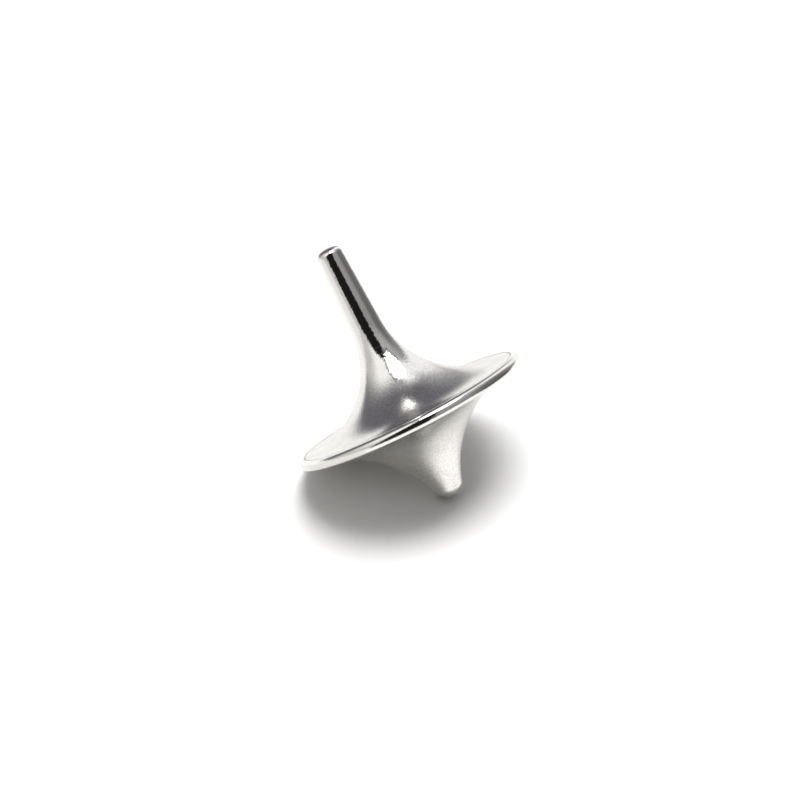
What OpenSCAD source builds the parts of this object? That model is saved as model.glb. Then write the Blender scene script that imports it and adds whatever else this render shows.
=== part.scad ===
// A hand-spun metal top, at rest on its tip and rim, in millimetres.
// +Z is up, the floor is z = 0, and the tip touches it at the origin.
// Each piece is drawn upright, with its tip at the origin, and then laid over.

/* [Whole top] */
// Diameter over the rim
rim_d = 32; // [30:0.5:36]
// Length from the tip to the stem's end
top_h = 36.5; // [34:0.2:40]
// Height of the rim's middle above the tip
rim_h = 12.7; // [12:0.1:13.5]

/* [Finger stem] */
// Diameter at the stem's end, before rounding
stem_d = 3.4; // [3:0.1:3.8]
// Taper of the stem, each side
stem_taper = 2.2; // [1.4:0.1:3]
// Radius of the domed end
dome_r = 4; // [3:0.25:8]
// Radius of the dome's edge
dome_edge_r = 0.95; // [0.5:0.05:1.2]
// Length of the stem's own piece of the flare, from its straight slope to its seat
stem_foot_l = 3; // [1:0.2:5]
// Diameter of the shank inside the body
shank_d = 3; // [2:0.1:3.4]
// Thickness of metal between the shank's bore and the ball's seat
bore_floor_t = 3; // [1:0.2:5]
// Chamfer on the shank's lower end
shank_chamfer = 0.4; // [0.2:0.1:0.8]

/* [Flares] */
// Thickness of the upper flare where it is level, above the joint
level_t = 0.7; // [0.45:0.05:0.8]
// Width from that level line to the flare's edge
level_w = 0.55; // [0.3:0.05:1.5]
// Radius of the lower flare
lower_flare_r = 15.5; // [15:0.1:20]
// Thickness of the lower flare at its edge, below the joint
foot_edge_t = 0.63; // [0.5:0.01:0.8]
// Diameter of the boss that centres one flare in the other
boss_d = 10; // [7:0.5:11]
// Height of that boss
boss_h = 1; // [0.5:0.1:1.6]
// Chamfer on the flares' outer edges, which makes the crease beside the bead
edge_chamfer = 0.06; // [0.04:0.02:0.16]

/* [Rim ring] */
// Diameter of the rim's bead
bead_d = 1.45; // [1.2:0.05:1.6]
// Width of the bead left outside the flares' edges
bead_w = 1; // [0.8:0.05:1.1]
// Width of the tongue held between the flares
tongue_w = 2.2; // [1:0.1:4]
// Thickness of that tongue
tongue_t = 0.5; // [0.3:0.05:0.6]

/* [Tip] */
// Diameter of the ball
ball_d = 4; // [3.5:0.1:4.5]
// Thickness of the rolled lip round the ball
lip_t = 0.12; // [0.1:0.01:0.16]
// Angle from the ball's equator down to the lip's edge
lip_grip = 26; // [15:1:28]

/* [Fits] */
// Clearance round the shank and the boss, and at the ring's inner edges
press_gap = 0.01; // [0.005:0.005:0.03]
// Clearance at the ends of the shank and the boss
end_gap = 0.05; // [0.02:0.01:0.1]
// Running clearance between the ball and its seat
ball_gap = 0.03; // [0.02:0.01:0.06]

/* [Hidden] */
$fn = 96;
// Depth by which one curve cuts into the next, so that they cross cleanly
blend = 0.002;

rim_r = rim_d / 2;
bead_r = bead_d / 2;
bead_path_r = rim_r - bead_r;
edge_r = rim_r - bead_w;
tongue_in_r = edge_r - tongue_w;
shank_r = shank_d / 2;
boss_r = boss_d / 2;
ball_r = ball_d / 2;
seat_r = ball_r + ball_gap;
lip_r = seat_r + lip_t;
lip_h = ball_r - lip_r * sin(lip_grip);
bore_r = shank_r + press_gap;
bore_end_h = ball_r + seat_r + bore_floor_t;
shank_end_h = bore_end_h + end_gap;

// The upper flare is one arc, level near the rim and touching the stem's slope at the neck
stem_end_r = stem_d / 2;
level_h = rim_h + level_t;
upper_x = edge_r - level_w;
upper_flare_r = (upper_x - stem_r(level_h)) / (1 / cos(stem_taper) - tan(stem_taper)) + blend;
upper_z = level_h + upper_flare_r;
neck_h = upper_z - upper_flare_r * sin(stem_taper);
seat_h = neck_h - stem_foot_l;
seat_edge_r = upper_x - sqrt(pow(upper_flare_r, 2) - pow(upper_z - seat_h, 2));
upper_edge_h = upper_z - sqrt(pow(upper_flare_r, 2) - pow(edge_r - upper_x, 2));

// The lower flare is one arc, touching the lip and ending foot_edge_t below the joint at the flares' edge
foot_edge_h = rim_h - foot_edge_t;
tip_reach = lip_r + lower_flare_r - blend;
edge_dz = foot_edge_h - ball_r;
edge_span = norm([edge_r, edge_dz]);
edge_slope = atan2(edge_dz, edge_r);
edge_turn = acos((pow(tip_reach, 2) + pow(edge_span, 2) - pow(lower_flare_r, 2)) / (2 * tip_reach * edge_span));
lower_x = tip_reach * cos(edge_slope - edge_turn);
lower_z = ball_r + tip_reach * sin(edge_slope - edge_turn);
lip_top_h = ball_r + lip_r * sin(edge_slope - edge_turn);

// The dome's rounded edge touches the stem's slope and the dome
dome_z = top_h - dome_r;
round_reach = dome_r - dome_edge_r;
round_turn = asin((stem_r(dome_z) * cos(stem_taper) - dome_edge_r) / round_reach) - stem_taper;
round_x = round_reach * sin(round_turn);
round_z = dome_z + round_reach * cos(round_turn);
round_side = [round_x + dome_edge_r * cos(stem_taper), round_z + dome_edge_r * sin(stem_taper)];

// Lean of the top when its ball and its rim both touch the floor
drop = rim_h - ball_r;
lean = atan2(drop, bead_path_r) + asin((ball_r - bead_r) / norm([drop, bead_path_r]));

// Radius of the stem's slope at height z
function stem_r(z) = stem_end_r + (top_h - z) * tan(stem_taper);

// Lays an upright piece over until the ball and the rim touch the floor
module as_it_lies() {
  translate([0, 0, ball_r])
    rotate([0, -lean, 0])
      translate([0, 0, -ball_r])
        children();
}

// Turns a half section about the upright axis
module turned() {
  as_it_lies()
    rotate_extrude()
      intersection() {
        children();
        square([rim_d, top_h + 1]);
      }
}

// A rectangle of a half section, from radius r0 to r1 and height z0 to z1
module band(r0, r1, z0, z1) {
  translate([r0, z0])
    square([r1 - r0, z1 - z0]);
}

// Cuts a flare's outer edge at height z back at 45 degrees, from above (side 1) or below (side -1)
module edge_break(z, side) {
  polygon([
    [edge_r + edge_chamfer, z - 2 * side * edge_chamfer],
    [edge_r + edge_chamfer, z + side * edge_chamfer],
    [edge_r - 2 * edge_chamfer, z + side * edge_chamfer]
  ]);
}

// The hollow of the upper flare
module upper_hollow() {
  translate([upper_x, upper_z])
    circle(r = upper_flare_r);
}

// The hollow of the lower flare
module lower_hollow() {
  translate([lower_x, lower_z])
    circle(r = lower_flare_r);
}

// The polished rod for finger and thumb, with its shank
module finger_stem() {
  color([0.80, 0.80, 0.82])
    turned()
      union() {
        difference() {
          polygon([
            [0, seat_h],
            [2 * seat_edge_r, seat_h],
            [2 * seat_edge_r, neck_h],
            [stem_r(neck_h), neck_h],
            round_side,
            [0, round_z]
          ]);
          upper_hollow();
        }
        // rounded edge of the end
        translate([round_x, round_z])
          circle(r = dome_edge_r + blend);
        // dome
        intersection() {
          translate([0, dome_z])
            circle(r = dome_r);
          polygon([
            [0, dome_z],
            [2 * dome_r * sin(round_turn), dome_z + 2 * dome_r * cos(round_turn)],
            [0, top_h + dome_r]
          ]);
        }
        // shank, with a chamfered lower end
        polygon([
          [0, shank_end_h],
          [shank_r - shank_chamfer, shank_end_h],
          [shank_r, shank_end_h + shank_chamfer],
          [shank_r, neck_h],
          [0, neck_h]
        ]);
      }
}

// The satin flare between the stem and the rim
module upper_body() {
  color([0.66, 0.66, 0.67])
    turned()
      difference() {
        band(0, edge_r, rim_h, seat_h);
        upper_hollow();
        edge_break(upper_edge_h, 1);
        // bore for the shank
        band(0, bore_r, 0, top_h);
        // recess for the boss
        band(0, boss_r + press_gap, 0, rim_h + boss_h + end_gap);
        // half of the groove for the tongue
        band(tongue_in_r - press_gap, rim_r, 0, rim_h + tongue_t / 2);
      }
}

// The polished bead, with the tongue that holds it
module rim_ring() {
  color([0.80, 0.80, 0.82])
    turned()
      union() {
        difference() {
          translate([bead_path_r, rim_h])
            circle(r = bead_r);
          band(0, edge_r + press_gap, 0, top_h);
        }
        band(tongue_in_r, bead_path_r, rim_h - tongue_t / 2, rim_h + tongue_t / 2);
      }
}

// The satin foot, with the ball's seat and its rolled lip
module lower_body() {
  color([0.66, 0.66, 0.67])
    turned()
      difference() {
        union() {
          band(0, edge_r, lip_top_h, rim_h);
          band(0, boss_r, ball_r, rim_h + boss_h);
          // outside of the lip
          translate([0, ball_r])
            circle(r = lip_r);
        }
        lower_hollow();
        edge_break(foot_edge_h, -1);
        // below the lip
        band(0, ball_d, 0, lip_h);
        // seat
        translate([0, ball_r])
          circle(r = seat_r);
        // blind bore for the shank
        band(0, bore_r, bore_end_h, top_h);
        // half of the groove for the tongue
        band(tongue_in_r - press_gap, rim_r, rim_h - tongue_t / 2, top_h);
      }
}

// The hard ball that the top spins on
module tip_ball() {
  color([0.55, 0.56, 0.58])
    as_it_lies()
      translate([0, 0, ball_r])
        sphere(r = ball_r);
}

finger_stem();
upper_body();
rim_ring();
lower_body();
tip_ball();
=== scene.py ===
"""Looks of a hand-spun metal top that lies on its tip and its rim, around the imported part."""

import math

import bpy
import numpy as np
from mathutils import Matrix, Vector


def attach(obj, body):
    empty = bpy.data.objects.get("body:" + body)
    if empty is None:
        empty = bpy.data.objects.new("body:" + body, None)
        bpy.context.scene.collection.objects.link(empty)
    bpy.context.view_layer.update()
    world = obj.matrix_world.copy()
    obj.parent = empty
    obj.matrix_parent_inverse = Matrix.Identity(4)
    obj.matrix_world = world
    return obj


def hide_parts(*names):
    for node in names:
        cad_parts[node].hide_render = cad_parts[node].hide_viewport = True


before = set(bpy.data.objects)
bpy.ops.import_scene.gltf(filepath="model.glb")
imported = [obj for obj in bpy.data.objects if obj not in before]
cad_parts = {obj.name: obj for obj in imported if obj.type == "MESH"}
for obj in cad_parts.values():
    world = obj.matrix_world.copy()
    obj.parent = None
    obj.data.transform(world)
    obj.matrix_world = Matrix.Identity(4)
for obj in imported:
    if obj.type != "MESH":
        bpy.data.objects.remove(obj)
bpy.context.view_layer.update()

# Sizes of the top in millimetres, as in the part's source

MM = 0.001
RIM_D = 32.0
TOP_H = 36.5
RIM_H = 12.7
STEM_D = 3.4
STEM_TAPER = math.radians(2.2)
DOME_R = 4.0
DOME_EDGE_R = 0.95
STEM_FOOT_L = 3.0
SHANK_D = 3.0
BORE_FLOOR_T = 3.0
SHANK_CHAMFER = 0.4
LEVEL_T = 0.7
LEVEL_W = 0.55
LOWER_FLARE_R = 15.5
FOOT_EDGE_T = 0.63
BOSS_D = 10.0
BOSS_H = 1.0
EDGE_CHAMFER = 0.06
BEAD_D = 1.45
BEAD_W = 1.0
TONGUE_W = 2.2
TONGUE_T = 0.5
BALL_D = 4.0
LIP_T = 0.12
LIP_GRIP = math.radians(26.0)
PRESS_GAP = 0.01
END_GAP = 0.05
BALL_GAP = 0.03

# Sizes that follow from them

RIM_R = RIM_D / 2
BEAD_R = BEAD_D / 2
BEAD_PATH_R = RIM_R - BEAD_R
EDGE_R = RIM_R - BEAD_W
TONGUE_IN_R = EDGE_R - TONGUE_W
SHANK_R = SHANK_D / 2
BORE_R = SHANK_R + PRESS_GAP
BOSS_R = BOSS_D / 2
BALL_R = BALL_D / 2
SEAT_R = BALL_R + BALL_GAP
LIP_R = SEAT_R + LIP_T
LIP_H = BALL_R - LIP_R * math.sin(LIP_GRIP)
BORE_END_H = BALL_R + SEAT_R + BORE_FLOOR_T
SHANK_END_H = BORE_END_H + END_GAP


def stem_radius(height):
    """Radius of the stem's slope at a height: half the end's diameter plus the taper on the way down."""
    return STEM_D / 2 + (TOP_H - height) * math.tan(STEM_TAPER)


# The upper flare is one arc, level near the rim and touching the stem's slope at the neck
LEVEL_H = RIM_H + LEVEL_T
UPPER_X = EDGE_R - LEVEL_W
UPPER_SPAN = UPPER_X - stem_radius(LEVEL_H)
UPPER_FLARE_R = UPPER_SPAN / (1 / math.cos(STEM_TAPER) - math.tan(STEM_TAPER))
UPPER_Z = LEVEL_H + UPPER_FLARE_R
NECK_H = UPPER_Z - UPPER_FLARE_R * math.sin(STEM_TAPER)
SEAT_H = NECK_H - STEM_FOOT_L
SEAT_TURN = math.pi + math.asin((UPPER_Z - SEAT_H) / UPPER_FLARE_R)
UPPER_EDGE_H = UPPER_Z - math.sqrt(UPPER_FLARE_R**2 - LEVEL_W**2)

# The lower flare is one arc, touching the lip and ending below the joint at the flares' edge
FOOT_EDGE_H = RIM_H - FOOT_EDGE_T
TIP_REACH = LIP_R + LOWER_FLARE_R
EDGE_DZ = FOOT_EDGE_H - BALL_R
EDGE_SPAN = math.hypot(EDGE_R, EDGE_DZ)
EDGE_COS = (TIP_REACH**2 + EDGE_SPAN**2 - LOWER_FLARE_R**2) / (2 * TIP_REACH * EDGE_SPAN)
LIP_TOP_TURN = math.atan2(EDGE_DZ, EDGE_R) - math.acos(EDGE_COS)
LOWER_X = TIP_REACH * math.cos(LIP_TOP_TURN)
LOWER_Z = BALL_R + TIP_REACH * math.sin(LIP_TOP_TURN)

# The dome's rounded edge touches the stem's slope and the dome
DOME_Z = TOP_H - DOME_R
ROUND_REACH = DOME_R - DOME_EDGE_R
ROUND_SIN = (stem_radius(DOME_Z) * math.cos(STEM_TAPER) - DOME_EDGE_R) / ROUND_REACH
ROUND_TURN = math.asin(ROUND_SIN) - STEM_TAPER
ROUND_X = ROUND_REACH * math.sin(ROUND_TURN)
ROUND_Z = DOME_Z + ROUND_REACH * math.cos(ROUND_TURN)

# Lean of the top when its ball and its rim both touch the floor
DROP = RIM_H - BALL_R
LEAN = math.atan2(DROP, BEAD_PATH_R) + math.asin((BALL_R - BEAD_R) / math.hypot(DROP, BEAD_PATH_R))

# Points round the axis, points on each stretch of an outline, and the step at which two points are one

TURN_STEPS = 320
NECK_STEPS = 26
SLOPE_STEPS = 40
ROUND_STEPS = 24
DOME_STEPS = 16
UPPER_STEPS = 96
BEAD_STEPS = 64
CUP_STEPS = 40
LIP_STEPS = 12
LOWER_STEPS = 100
BALL_STEPS = 96
SAME_POINT = 1e-6

# Rounding of sharp corners, the sharpest turn that is shaded smooth, and the least length to divide by

CORNER_R = 0.006
CORNER_STEPS = 4
CORNER_SHARE = 0.4
CORNER_LEAST = math.radians(20.0)
SMOOTH_MOST = math.radians(8.0)
TINY = 1e-12

# Outlines of the turned pieces, as points (radius, height)


def arc(x, z, radius, start, end, count):
    """Points of a circle's arc: the centre plus the radius times (cosine, sine) of angles spaced evenly."""
    angle = np.linspace(start, end, count)
    return np.stack([x + radius * np.cos(angle), z + radius * np.sin(angle)], axis=1)


def line(start, end, count):
    """Points spaced evenly on a straight line, for a long stretch that needs its own rings."""
    share = np.linspace(0.0, 1.0, count)[:, None]
    return (1 - share) * np.array(start) + share * np.array(end)


def outline(*stretches):
    """Stretches set end to end as one list of points, without the points that two stretches share."""
    points = np.concatenate([np.atleast_2d(np.array(s, float)) for s in stretches])
    step = np.linalg.norm(np.diff(points, axis=0), axis=1)
    return points[np.concatenate([[True], step > SAME_POINT])]


def stem_outline():
    """The shank, the seat on the flare, the stem's own piece of the flare's arc, the slope, the rounded edge
    and the dome."""
    return outline(
        (0.0, SHANK_END_H),
        (SHANK_R - SHANK_CHAMFER, SHANK_END_H),
        (SHANK_R, SHANK_END_H + SHANK_CHAMFER),
        (SHANK_R, SEAT_H),
        arc(UPPER_X, UPPER_Z, UPPER_FLARE_R, SEAT_TURN, math.pi + STEM_TAPER, NECK_STEPS),
        line((stem_radius(NECK_H), NECK_H), (stem_radius(ROUND_Z), ROUND_Z), SLOPE_STEPS)[1:-1],
        arc(ROUND_X, ROUND_Z, DOME_EDGE_R, STEM_TAPER, math.pi / 2 - ROUND_TURN, ROUND_STEPS),
        arc(0.0, DOME_Z, DOME_R, math.pi / 2 - ROUND_TURN, math.pi / 2, DOME_STEPS),
    )


def upper_outline():
    """The flat underside with the tongue's groove, the edge with its chamfer, the flare's arc, the seat, the
    bore and the recess for the boss."""
    groove_h = RIM_H + TONGUE_T / 2
    recess_h = RIM_H + BOSS_H + END_GAP
    chamfer_x = EDGE_R - EDGE_CHAMFER
    chamfer_z = UPPER_Z - math.sqrt(UPPER_FLARE_R**2 - (chamfer_x - UPPER_X) ** 2)
    start = math.atan2(chamfer_z - UPPER_Z, chamfer_x - UPPER_X) % (2 * math.pi)
    return outline(
        (BOSS_R + PRESS_GAP, RIM_H),
        (TONGUE_IN_R - PRESS_GAP, RIM_H),
        (TONGUE_IN_R - PRESS_GAP, groove_h),
        (EDGE_R, groove_h),
        (EDGE_R, UPPER_EDGE_H - EDGE_CHAMFER),
        arc(UPPER_X, UPPER_Z, UPPER_FLARE_R, start, SEAT_TURN, UPPER_STEPS),
        (BORE_R, SEAT_H),
        (BORE_R, recess_h),
        (BOSS_R + PRESS_GAP, recess_h),
    )


def ring_outline():
    """The round bead, cut flat where it meets the flares' edges, and the tongue that they hold."""
    flat_x = EDGE_R + PRESS_GAP
    flat_turn = math.acos((flat_x - BEAD_PATH_R) / BEAD_R)
    return outline(
        arc(BEAD_PATH_R, RIM_H, BEAD_R, -flat_turn, flat_turn, BEAD_STEPS),
        (flat_x, RIM_H + TONGUE_T / 2),
        (TONGUE_IN_R, RIM_H + TONGUE_T / 2),
        (TONGUE_IN_R, RIM_H - TONGUE_T / 2),
        (flat_x, RIM_H - TONGUE_T / 2),
    )


def foot_outline():
    """The ball's seat, the rolled lip, the flare's arc, the edge, the groove, the boss and the blind bore."""
    grip_turn = math.asin((LIP_H - BALL_R) / SEAT_R)
    groove_h = RIM_H - TONGUE_T / 2
    chamfer_x = EDGE_R - EDGE_CHAMFER
    chamfer_z = LOWER_Z + math.sqrt(LOWER_FLARE_R**2 - (chamfer_x - LOWER_X) ** 2)
    end = math.atan2(chamfer_z - LOWER_Z, chamfer_x - LOWER_X)
    return outline(
        arc(0.0, BALL_R, SEAT_R, math.pi / 2, grip_turn, CUP_STEPS),
        arc(0.0, BALL_R, LIP_R, -LIP_GRIP, LIP_TOP_TURN, LIP_STEPS),
        arc(LOWER_X, LOWER_Z, LOWER_FLARE_R, LIP_TOP_TURN + math.pi, end, LOWER_STEPS),
        (EDGE_R, FOOT_EDGE_H + EDGE_CHAMFER),
        (EDGE_R, groove_h),
        (TONGUE_IN_R - PRESS_GAP, groove_h),
        (TONGUE_IN_R - PRESS_GAP, RIM_H),
        (BOSS_R, RIM_H),
        (BOSS_R, RIM_H + BOSS_H),
        (BORE_R, RIM_H + BOSS_H),
        (BORE_R, BORE_END_H),
        (0.0, BORE_END_H),
    )


def ball_outline():
    """Half a circle from pole to pole."""
    return outline(arc(0.0, BALL_R, BALL_R, -math.pi / 2, math.pi / 2, BALL_STEPS))


# Surfaces of the turned pieces


def eased(points, loop):
    """Breaks each sharp corner with a small round: the corner becomes points of a quadratic curve that starts
    and ends CORNER_R away from it, or less where the next point is near."""
    before = np.roll(points, 1, axis=0) - points
    after = np.roll(points, -1, axis=0) - points
    before_l = np.linalg.norm(before, axis=1, keepdims=True)
    after_l = np.linalg.norm(after, axis=1, keepdims=True)
    cosine = -np.sum(before * after, axis=1) / np.maximum(before_l * after_l, TINY)[:, 0]
    sharp = np.arccos(np.clip(cosine, -1, 1)) > CORNER_LEAST
    if not loop:
        sharp[[0, -1]] = False
    reach = np.minimum(CORNER_R, CORNER_SHARE * np.minimum(before_l, after_l))
    first = points + before / np.maximum(before_l, TINY) * reach
    last = points + after / np.maximum(after_l, TINY) * reach
    share = np.linspace(0.0, 1.0, CORNER_STEPS)[:, None, None]
    curve = (1 - share) ** 2 * first + 2 * share * (1 - share) * points + share**2 * last
    grid = np.where(sharp[None, :, None], curve, points[None])
    keep = np.repeat(sharp[:, None], CORNER_STEPS, axis=1)
    keep[:, 0] = True
    return np.transpose(grid, (1, 0, 2))[keep]


def laid_over(places):
    """Points turned about the ball's centre by the lean: with z taken from that centre, x goes to
    x cos - z sin, and z to x sin + z cos."""
    above = places[:, 2] - BALL_R
    laid = places.copy()
    laid[:, 0] = math.cos(LEAN) * places[:, 0] - math.sin(LEAN) * above
    laid[:, 2] = math.sin(LEAN) * places[:, 0] + math.cos(LEAN) * above + BALL_R
    return laid


def turned(name, points, loop):
    """A piece turned on a lathe: a point (radius r, height z) at turn t goes to (r cos t, r sin t, z), and
    the whole is then laid over. A loop closes on itself, and any other outline starts and ends on the axis,
    where one point closes the grid. Each point keeps its run, the way along the outline."""
    points = eased(points, loop)
    turn = np.linspace(0.0, 2 * math.pi, TURN_STEPS, endpoint=False)
    rings = points if loop else points[1:-1]
    grid = np.empty((len(rings), TURN_STEPS, 3))
    grid[:, :, 0] = rings[:, :1] * np.cos(turn)
    grid[:, :, 1] = rings[:, :1] * np.sin(turn)
    grid[:, :, 2] = rings[:, 1:]
    run = np.concatenate([[0.0], np.cumsum(np.linalg.norm(np.diff(points, axis=0), axis=1))])
    number = np.arange(len(rings) * TURN_STEPS).reshape(len(rings), TURN_STEPS)
    if loop:
        number = np.concatenate([number, number[:1]])
    beside = np.roll(number, -1, axis=1)
    quads = np.stack([number[:-1], beside[:-1], beside[1:], number[1:]], axis=2)
    faces = quads.reshape(-1, 4).tolist()
    places = grid.reshape(-1, 3)
    runs = np.repeat(run if loop else run[1:-1], TURN_STEPS)
    if not loop:
        low = len(places)
        poles = np.array([[0.0, 0.0, points[0, 1]], [0.0, 0.0, points[-1, 1]]])
        places = np.concatenate([places, poles])
        runs = np.concatenate([runs, run[[0, -1]]])
        bottom = np.stack([beside[0], number[0], np.full(TURN_STEPS, low)], axis=1)
        top = np.stack([number[-1], beside[-1], np.full(TURN_STEPS, low + 1)], axis=1)
        faces = faces + bottom.tolist() + top.tolist()
    mesh = bpy.data.meshes.new(name)
    mesh.from_pydata((laid_over(places) * MM).tolist(), [], faces)
    attribute = mesh.attributes.new("run", "FLOAT", "POINT")
    attribute.data.foreach_set("value", runs.astype(np.float32))
    mesh.shade_smooth()
    mesh.set_sharp_from_angle(angle=SMOOTH_MOST)
    piece = bpy.data.objects.new(name, mesh)
    bpy.context.scene.collection.objects.link(piece)
    return piece


# Shader maths

DEGREES = math.degrees(1.0)
LEVEL_PART = (1.0, 1.0, 0.0)


class Wire:
    """An output of a shader node that can stand in sums, where each operation adds a Math node."""

    def __init__(self, tree, socket=None):
        self.tree = tree
        self.socket = socket

    def node(self, kind, settings, values, output=0):
        """Adds a node of any kind: its settings first, then its sockets' values or links. Gives one output,
        or the node itself where the output is None."""
        made = self.tree.nodes.new(kind)
        for key, value in settings.items():
            setattr(made, key, value)
        for key, value in values.items():
            if isinstance(value, Wire):
                self.tree.links.new(value.socket, made.inputs[key])
            else:
                made.inputs[key].default_value = value
        return made if output is None else Wire(self.tree, made.outputs[output])

    def math(self, operation, first, second=0.0):
        """Adds a Math node for one operation on two numbers."""
        return self.node("ShaderNodeMath", {"operation": operation}, {0: first, 1: second})

    def vector(self, operation, values, output=0):
        """Adds a Vector Math node for one operation."""
        return self.node("ShaderNodeVectorMath", {"operation": operation}, values, output)

    def __add__(self, other):
        return self.math("ADD", self, other)

    def __radd__(self, other):
        return self.math("ADD", other, self)

    def __sub__(self, other):
        return self.math("SUBTRACT", self, other)

    def __rsub__(self, other):
        return self.math("SUBTRACT", other, self)

    def __mul__(self, other):
        return self.math("MULTIPLY", self, other)

    def __rmul__(self, other):
        return self.math("MULTIPLY", other, self)

    def __truediv__(self, other):
        return self.math("DIVIDE", self, other)

    def __rtruediv__(self, other):
        return self.math("DIVIDE", other, self)

    def smooth(self, low, high):
        """A soft step: 0 up to low, 1 from high."""
        values = {"Value": self, "From Min": low, "From Max": high}
        return self.node("ShaderNodeMapRange", {"interpolation_type": "SMOOTHSTEP"}, values)

    def blend(self, first, second):
        """A colour from first to second, by this share."""
        colours = {"Factor": self, 6: first, 7: second}
        return self.node("ShaderNodeMix", {"data_type": "RGBA"}, colours, 2)

    def noise(self, scale, detail=2.0, roughness=0.5):
        """Smooth noise over this vector, from 0 to 1, with scale features to the vector's unit."""
        values = {"Vector": self, "Scale": scale, "Detail": detail, "Roughness": roughness}
        return self.node("ShaderNodeTexNoise", {}, values)

    def level(self):
        """This vector with its height taken off."""
        return self.vector("MULTIPLY", {0: self, 1: LEVEL_PART})

    def height(self):
        """This vector's third part."""
        parts = self.node("ShaderNodeSeparateXYZ", {}, {"Vector": self}, None)
        return Wire(self.tree, parts.outputs["Z"])

    def join(self, shader, socket):
        """Links this output to a named socket of a shader."""
        self.tree.links.new(self.socket, shader.inputs[socket])


def upright(start):
    """Object coordinates in millimetres about the ball's centre, with the top's axis upright."""
    values = {
        "Vector": start.node("ShaderNodeTexCoord", {}, {}, "Object"),
        "Location": (0.0, 0.0, BALL_R * MM),
        "Rotation": (0.0, -LEAN, 0.0),
        "Scale": (MM, MM, MM),
    }
    return start.node("ShaderNodeMapping", {"vector_type": "TEXTURE"}, values)


# Marks on the metal: noise features to the millimetre, and the noise at which a mark starts and is full

PEEL_SCALE = 3.2
GRAIN_SCALE = 4.0
LINE_SCALE = 18.0
SMUDGE_SCALE = 0.35
SMUDGE_SPAN = (0.45, 0.68)
PIT_SCALE = 1.1
PIT_SPAN = (0.70, 0.78)
FROST_SCALE = 6.5
FROST_SPAN = (0.40, 0.60)

# Depths of the marks in millimetres, and their shares in the dull tone and in the roughness

LINE_DEPTH = 0.00012
PIT_DEPTH = 0.004
SMUDGE_DULL = 0.5
PIT_DULL = 0.4
FROST_DULL = 0.8
SMUDGE_ON_FROST = 0.2
SMUDGE_ROUGH = 0.05
LINE_ROUGH = 0.03
PIT_ROUGH = 0.1
CREASE_ROUGH = 0.35
NOISE_MIDDLE = 0.5

# Tones of the metal

SILVER = ((0.90, 0.89, 0.875, 1.0), (0.80, 0.79, 0.775, 1.0))
STEEL = ((0.74, 0.73, 0.715, 1.0), (0.64, 0.63, 0.615, 1.0))
FROST_LIGHT = (0.98, 0.97, 0.955, 1.0)
FROST_DARK = (0.66, 0.65, 0.635, 1.0)
# Painted shade for creases: a darker tone where the groove lies in shade
CREASE_SHADE_TONE = (0.40, 0.385, 0.37, 1.0)

# Spans in millimetres that lie before and beyond the whole top

BEFORE_ALL = (-9.0, -8.0)
BEYOND_ALL = (90.0, 91.0)

# Heights above the ball's centre over which satin turns to polish, in millimetres

NECK_FADE = (13.5, 18.0)
ALL_POLISHED = BEFORE_ALL
ALL_SATIN = BEYOND_ALL

# Creases: radii over which the crease mark starts, radii over which it ends, and its share of painted shade
# in the tone; the mark also makes the metal rougher

NO_CREASE = (BEYOND_ALL, BEYOND_ALL, 0.0)
FLARE_CREASE = ((EDGE_R - 0.12, EDGE_R - 0.04), BEYOND_ALL, 0.25)
BEAD_CREASE = (BEFORE_ALL, (EDGE_R + 0.1, EDGE_R + 0.25), 0.0)


def turned_metal(name, tones, rough, depth, fade, crease):
    """Metal turned on a lathe. Above the fade it is polished, with orange peel, and below the fade it is
    satin, with a blasted grain and a speckled frost. Faint lines round the axis, smudges and pits lie over
    both. Within a crease the metal is rougher, and its tone is darkened there as painted shade. Tones are
    the clean and the dull one, and rough and depth each hold a value for polished and one for satin metal."""
    material = bpy.data.materials.new(name)
    material.use_nodes = True
    start = Wire(material.node_tree)
    shader = next(n for n in material.node_tree.nodes if n.type == "BSDF_PRINCIPLED")
    shader.inputs["Metallic"].default_value = 1.0
    place = upright(start)
    radius = start.vector("LENGTH", {0: place.level()}, "Value")
    run = start.node("ShaderNodeAttribute", {"attribute_name": "run"}, {}, "Fac")
    lengthways = start.node("ShaderNodeCombineXYZ", {}, {"X": run})
    polish = place.height().smooth(*fade)
    satin = 1.0 - polish
    peel = place.noise(PEEL_SCALE, detail=1.0)
    grain = place.noise(GRAIN_SCALE, detail=2.0, roughness=0.6)
    lines = lengthways.noise(LINE_SCALE, detail=3.0, roughness=0.7)
    smudge = place.noise(SMUDGE_SCALE, detail=3.0).smooth(*SMUDGE_SPAN)
    pits = place.noise(PIT_SCALE, detail=1.0).smooth(*PIT_SPAN)
    frost = place.noise(FROST_SCALE, detail=2.0, roughness=0.7).smooth(*FROST_SPAN)
    crease_start, crease_end, crease_shade_share = crease
    crease_shade_and_rough = radius.smooth(*crease_start) - radius.smooth(*crease_end)
    buffed = (smudge * SMUDGE_DULL + pits * PIT_DULL).blend(*tones)
    frosted = (frost * FROST_DULL + smudge * SMUDGE_ON_FROST).blend(FROST_LIGHT, FROST_DARK)
    tone = satin.blend(buffed, frosted)
    # Painted shade: within a crease the tone is darkened, where the groove lies in shade
    (crease_shade_and_rough * crease_shade_share).blend(tone, CREASE_SHADE_TONE).join(shader, "Base Color")
    even = polish * rough[0] + satin * rough[1] + (lines - NOISE_MIDDLE) * LINE_ROUGH
    (even + smudge * SMUDGE_ROUGH + pits * PIT_ROUGH + crease_shade_and_rough * CREASE_ROUGH).join(shader, "Roughness")
    relief = peel * polish * depth[0] + grain * satin * depth[1] + lines * LINE_DEPTH - pits * PIT_DEPTH
    values = {"Strength": 1.0, "Distance": MM, "Height": relief}
    start.node("ShaderNodeBump", {}, values, "Normal").join(shader, "Normal")
    return material


# The pieces of the top

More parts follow.
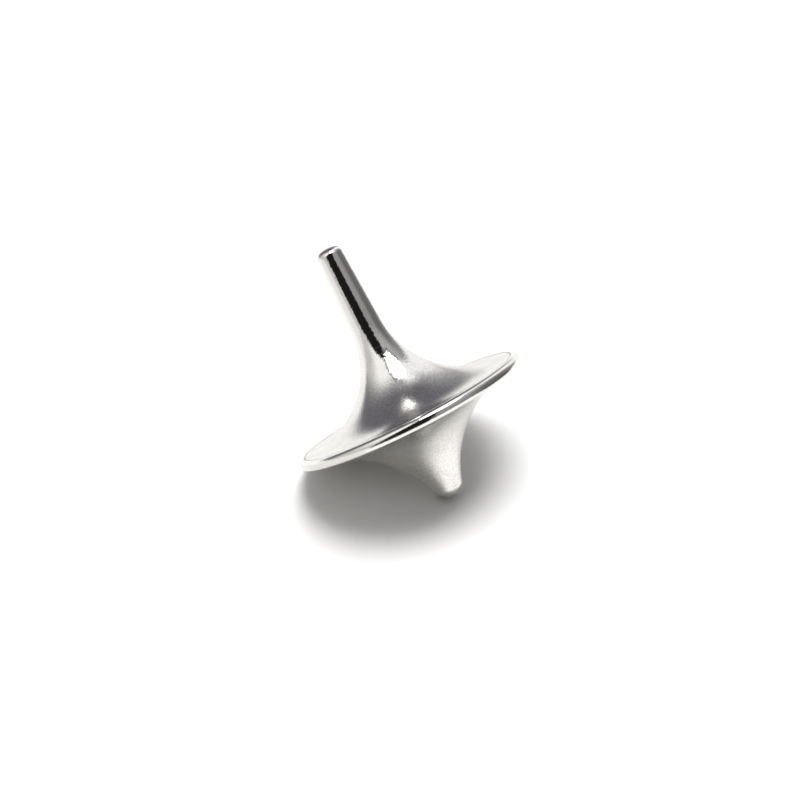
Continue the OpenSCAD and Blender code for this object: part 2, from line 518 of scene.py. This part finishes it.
finger_stem = turned("polished_finger_stem", stem_outline(), loop=False)
upper_flare = turned("satin_upper_flare", upper_outline(), loop=True)
rim_bead = turned("polished_rim_bead", ring_outline(), loop=True)
lower_foot = turned("satin_lower_foot", foot_outline(), loop=False)
steel_ball = turned("steel_tip_ball", ball_outline(), loop=False)

stem_metal = turned_metal(
    "buffed_stem_metal",
    SILVER,
    rough=(0.06, 0.11),
    depth=(0.020, 0.020),
    fade=NECK_FADE,
    crease=NO_CREASE,
)
flare_metal = turned_metal(
    "satin_flare_metal",
    SILVER,
    rough=(0.06, 0.14),
    depth=(0.020, 0.020),
    fade=NECK_FADE,
    crease=FLARE_CREASE,
)
bead_metal = turned_metal(
    "buffed_bead_metal",
    SILVER,
    rough=(0.10, 0.20),
    depth=(0.010, 0.012),
    fade=ALL_POLISHED,
    crease=BEAD_CREASE,
)
foot_metal = turned_metal(
    "satin_foot_metal",
    SILVER,
    rough=(0.10, 0.11),
    depth=(0.010, 0.020),
    fade=ALL_SATIN,
    crease=FLARE_CREASE,
)
ball_metal = turned_metal(
    "hard_ball_steel",
    STEEL,
    rough=(0.15, 0.15),
    depth=(0.006, 0.006),
    fade=ALL_POLISHED,
    crease=NO_CREASE,
)

dressing = [
    (finger_stem, stem_metal, "finger_stem", "top", "polished_metal"),
    (upper_flare, flare_metal, "upper_body", "top", "satin_metal"),
    (rim_bead, bead_metal, "rim_ring", "top", "polished_metal"),
    (lower_foot, foot_metal, "lower_body", "top", "satin_metal"),
    (steel_ball, ball_metal, "tip_ball", "tip", "hard_steel"),
]
for piece, material, node, body, slot in dressing:
    piece.data.materials.append(material)
    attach(piece, body)
    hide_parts(node)

# Camera at the photograph's viewing angle, in metres

CAMERA_AZIMUTH = math.radians(43.835)
CAMERA_ELEVATION = math.radians(36.806)
CAMERA_DISTANCE = 0.3275
CAMERA_TARGET = Vector((-0.008449, -0.000026, 0.011194))
CAMERA_LENS = 112.67
CAMERA_SENSOR = 36.0
CAMERA_CLIP = (0.005, 20.0)
UP = Vector((0.0, 0.0, 1.0))


def around(degrees):
    """A level direction, measured from the camera's side, with the camera's right as plus."""
    angle = CAMERA_AZIMUTH + math.radians(degrees)
    return Vector((math.sin(angle), -math.cos(angle), 0.0))


def overhead(right, away):
    """A direction near straight up, leant by degrees to the camera's right and away from the camera."""
    lean_right = around(90.0) * math.tan(math.radians(right))
    lean_away = around(180.0) * math.tan(math.radians(away))
    return (UP + lean_right + lean_away).normalized()


camera_back = around(0.0) * math.cos(CAMERA_ELEVATION) + UP * math.sin(CAMERA_ELEVATION)
camera_data = bpy.data.cameras.new("camera")
camera_data.lens = CAMERA_LENS
camera_data.sensor_width = CAMERA_SENSOR
camera_data.clip_start, camera_data.clip_end = CAMERA_CLIP
camera = bpy.data.objects.new("camera", camera_data)
camera.location = CAMERA_TARGET + camera_back * CAMERA_DISTANCE
camera.rotation_mode = "QUATERNION"
camera.rotation_quaternion = (-camera_back).to_track_quat("-Z", "Y")
bpy.context.scene.collection.objects.link(camera)
bpy.context.scene.camera = camera

# Stretches of the studio: middle in degrees from the camera's side, half width and softness

RIGHT_WALL = (102.0, 24.0, 24.0)
LEFT_WALL = (-66.0, 42.0, 40.0)
BACK_WALL = (-152.0, 36.0, 44.0)
HALO = (168.0, 16.0, 24.0)
STRIP = (159.0, 13.0, 14.0)
FLAG_BELOW = (-1.5, 31.0, 5.0)
FLAG_ABOVE = (-7.0, 33.0, 6.0)

# Heights in degrees over which the stretches change

HIGH_SPAN = (28.0, 62.0)
LEAN_SPAN = (14.0, 34.0)
LEFT_SPAN = (12.0, 42.0)
BACK_SPAN = (44.0, 62.0)
FLAG_SPAN = (66.0, 70.0)

# Patches overhead: direction, half width and softness in degrees

PANEL_MIDDLE = overhead(-2.0, 2.5)
PANEL = (PANEL_MIDDLE, 18.0, 2.0)
PANEL_FRAME = (PANEL_MIDDLE, 22.5, 2.0)
GLOW = (overhead(3.0, 25.0), 15.0, 12.0)

# Tones of the patches, of the back wall near the floor, and of what the camera sees past the floor

PANEL_TONE = (4.0, 0.02)
PANEL_FRAME_TONE = 0.04
GLOW_TONE = 1.0
BACK_TONE = (0.145, 0.14, 0.155, 1.0)
BACKDROP_TONE = 1.0

# The lamp that lights the floor: direction, half widths and turn in degrees, distance in metres, and power

LAMP = overhead(5.0, 6.8)
LAMP_HALVES = (20.0, 11.0)
LAMP_TURN = 135.0
LAMP_DISTANCE = 1.39
LAMP_POWER = 12.8

# The floor: half width in metres, tone, warmth, and the share of a wall's tone that far paper shows in the
# metal, as painted shade where less light reaches it

FLOOR_HALF = 2.0
FLOOR_TONE = 0.88
PAPER_WARMTH = 0.03
FAR_SHARE = 0.72

# Near paper turns to far paper over this span of distance, as shares of its reach: a painted fall-off of the
# light

FAR_SPAN = (0.45, 1.6)

# Painted light: paper under the leaning rim, brighter in the metal as if lit within the top's shadow: its
# middle and the distances over which it ends, in metres, and its tone

UNDER_RIM = (-0.009, -0.003, 0.0)
UNDER_SPAN = (0.008, 0.018)
UNDER_RIM_LIGHT_TONE = 0.86


def grey(tone, warmth=0.0):
    """A grey, with its blue taken down by a share and its green by a third of it."""
    return (tone, tone * (1.0 - warmth / 3), tone * (1.0 - warmth), 1.0)


def paper_grey(tone):
    """A grey as warm as the paper."""
    return grey(tone, PAPER_WARMTH)


def near(vector, direction, half, soft):
    """Share of a round patch of directions: 1 well within half degrees of its middle and 0 well beyond, with
    a fade soft degrees wide between them. The angle is the arc cosine of the dot product."""
    dot = vector.vector("DOT_PRODUCT", {0: vector, 1: direction}, "Value")
    angle = dot.math("ARCCOSINE", dot.math("MINIMUM", dot, 1.0)) * DEGREES
    return 1.0 - angle.smooth(half - soft / 2, half + soft / 2)


def stretch(level, middle, half, soft):
    """Share of a stretch of the studio in a level direction."""
    return near(level, around(middle), half, soft)


def walls(vector, lean, plain, right, left, back, halo, strip, flag):
    """Tones of the studio's walls, by the level direction of a vector. Each stretch covers those before it:
    the right, left and back walls, a bright strip with a halo, and a dark flag that leans as it rises."""
    level = vector.vector("NORMALIZE", {0: vector.level()})
    shade = stretch(level, *RIGHT_WALL).blend(plain, right)
    shade = stretch(level, *LEFT_WALL).blend(shade, left)
    shade = stretch(level, *BACK_WALL).blend(shade, back)
    shade = stretch(level, *HALO).blend(shade, halo)
    shade = stretch(level, *STRIP).blend(shade, strip)
    below = stretch(level, *FLAG_BELOW)
    above = stretch(level, *FLAG_ABOVE)
    return (below + lean * (above - below)).blend(shade, flag)


# Studio

world = bpy.data.worlds.new("studio_room")
world.use_nodes = True
bpy.context.scene.world = world
world.node_tree.nodes.clear()
room = Wire(world.node_tree)
gaze = room.node("ShaderNodeTexCoord", {}, {}, "Generated")
rise = room.math("ARCSINE", gaze.height()) * DEGREES
high = rise.smooth(*HIGH_SPAN)
shade = walls(
    gaze,
    lean=rise.smooth(*LEAN_SPAN),
    plain=high.blend(grey(0.27), grey(0.42)),
    right=high.blend(grey(0.145), grey(0.42)),
    left=rise.smooth(*LEFT_SPAN).blend(grey(0.60, 0.04), grey(1.0, 0.04)),
    back=rise.smooth(*BACK_SPAN).blend(BACK_TONE, grey(0.40)),
    halo=grey(0.44),
    strip=grey(1.0),
    flag=rise.smooth(*FLAG_SPAN).blend(grey(0.012, 0.15), grey(0.30)),
)
shade = near(gaze, *PANEL_FRAME).blend(shade, grey(PANEL_FRAME_TONE))
shade = near(gaze, *GLOW).blend(shade, grey(GLOW_TONE))
shade = near(gaze, *PANEL).blend(shade, grey(*PANEL_TONE))
seen = room.node("ShaderNodeLightPath", {}, {}, "Is Camera Ray")
shade = seen.blend(shade, grey(BACKDROP_TONE))
background = room.node("ShaderNodeBackground", {}, {"Color": shade, "Strength": 1.0})
room.node("ShaderNodeOutputWorld", {}, {"Surface": background}, None)

# Lamp: it lights the floor, and the metal shows the studio's panel in its place

lamp_across = LAMP.cross(around(LAMP_TURN)).normalized()
lamp_along = lamp_across.cross(LAMP)
lamp_data = bpy.data.lights.new("overhead_lamp", "AREA")
lamp_data.shape = "ELLIPSE"
lamp_data.size = 2 * LAMP_DISTANCE * math.tan(math.radians(LAMP_HALVES[0]))
lamp_data.size_y = 2 * LAMP_DISTANCE * math.tan(math.radians(LAMP_HALVES[1]))
lamp_data.energy = LAMP_POWER
lamp = bpy.data.objects.new("overhead_lamp", lamp_data)
lamp.location = LAMP * LAMP_DISTANCE
lamp.rotation_mode = "QUATERNION"
lamp.rotation_quaternion = Matrix((lamp_along, lamp_across, LAMP)).transposed().to_quaternion()
lamp.visible_camera = False
lamp.visible_glossy = False
bpy.context.scene.collection.objects.link(lamp)

# Floor of pale paper, even to the camera. In the metal its tone is painted light and shade: it differs by
# direction, goes over to the walls' tones with distance, and is brighter under the rim

floor_mesh = bpy.data.meshes.new("pale_floor")
corners = np.array([[-1, -1, 0], [1, -1, 0], [1, 1, 0], [-1, 1, 0]]) * FLOOR_HALF
floor_mesh.from_pydata(corners.tolist(), [], [[0, 1, 2, 3]])
floor = bpy.data.objects.new("pale_floor", floor_mesh)
bpy.context.scene.collection.objects.link(floor)
paper = bpy.data.materials.new("pale_paper")
paper.use_nodes = True
paper.node_tree.nodes.clear()
sheet = Wire(paper.node_tree)
spot = sheet.node("ShaderNodeTexCoord", {}, {}, "Object")
reach = walls(
    spot,
    lean=0.0,
    plain=grey(0.10),
    right=grey(0.042),
    left=grey(0.17),
    back=grey(0.14),
    halo=grey(0.14),
    strip=grey(0.15),
    flag=grey(0.06),
)
far = (sheet.vector("LENGTH", {0: spot}, "Value") / reach).smooth(*FAR_SPAN)
# Far paper in the metal: painted shade in the walls' tones
beyond = walls(
    spot,
    lean=0.0,
    plain=grey(0.27),
    right=grey(0.10),
    left=grey(0.74, 0.04),
    back=grey(0.34),
    halo=grey(0.5),
    strip=grey(1.0),
    flag=grey(0.10),
)
beyond = sheet.vector("SCALE", {0: beyond, "Scale": FAR_SHARE})
# Near paper in the metal, with painted shade: darker towards the left and behind
close = walls(
    spot,
    lean=0.0,
    plain=paper_grey(0.87),
    right=paper_grey(0.87),
    left=paper_grey(0.66),
    back=paper_grey(0.75),
    halo=paper_grey(0.75),
    strip=paper_grey(0.75),
    flag=paper_grey(0.87),
)
# Painted light: the paper under the leaning rim is brighter in the metal, standing in for light thrown back
# into the top's shadow
apart = sheet.vector("DISTANCE", {0: spot, 1: UNDER_RIM}, "Value")
close = apart.smooth(*UNDER_SPAN).blend(paper_grey(UNDER_RIM_LIGHT_TONE), close)
seen = sheet.node("ShaderNodeLightPath", {}, {}, "Is Camera Ray")
tone = seen.blend(far.blend(close, beyond), grey(FLOOR_TONE))
matt = {"Base Color": tone, "Roughness": 1.0, "Specular IOR Level": 0.0}
surface = sheet.node("ShaderNodeBsdfPrincipled", {}, matt)
sheet.node("ShaderNodeOutputMaterial", {}, {"Surface": surface}, None)
floor_mesh.materials.append(paper)

bpy.context.scene.view_settings.view_transform = "Standard"
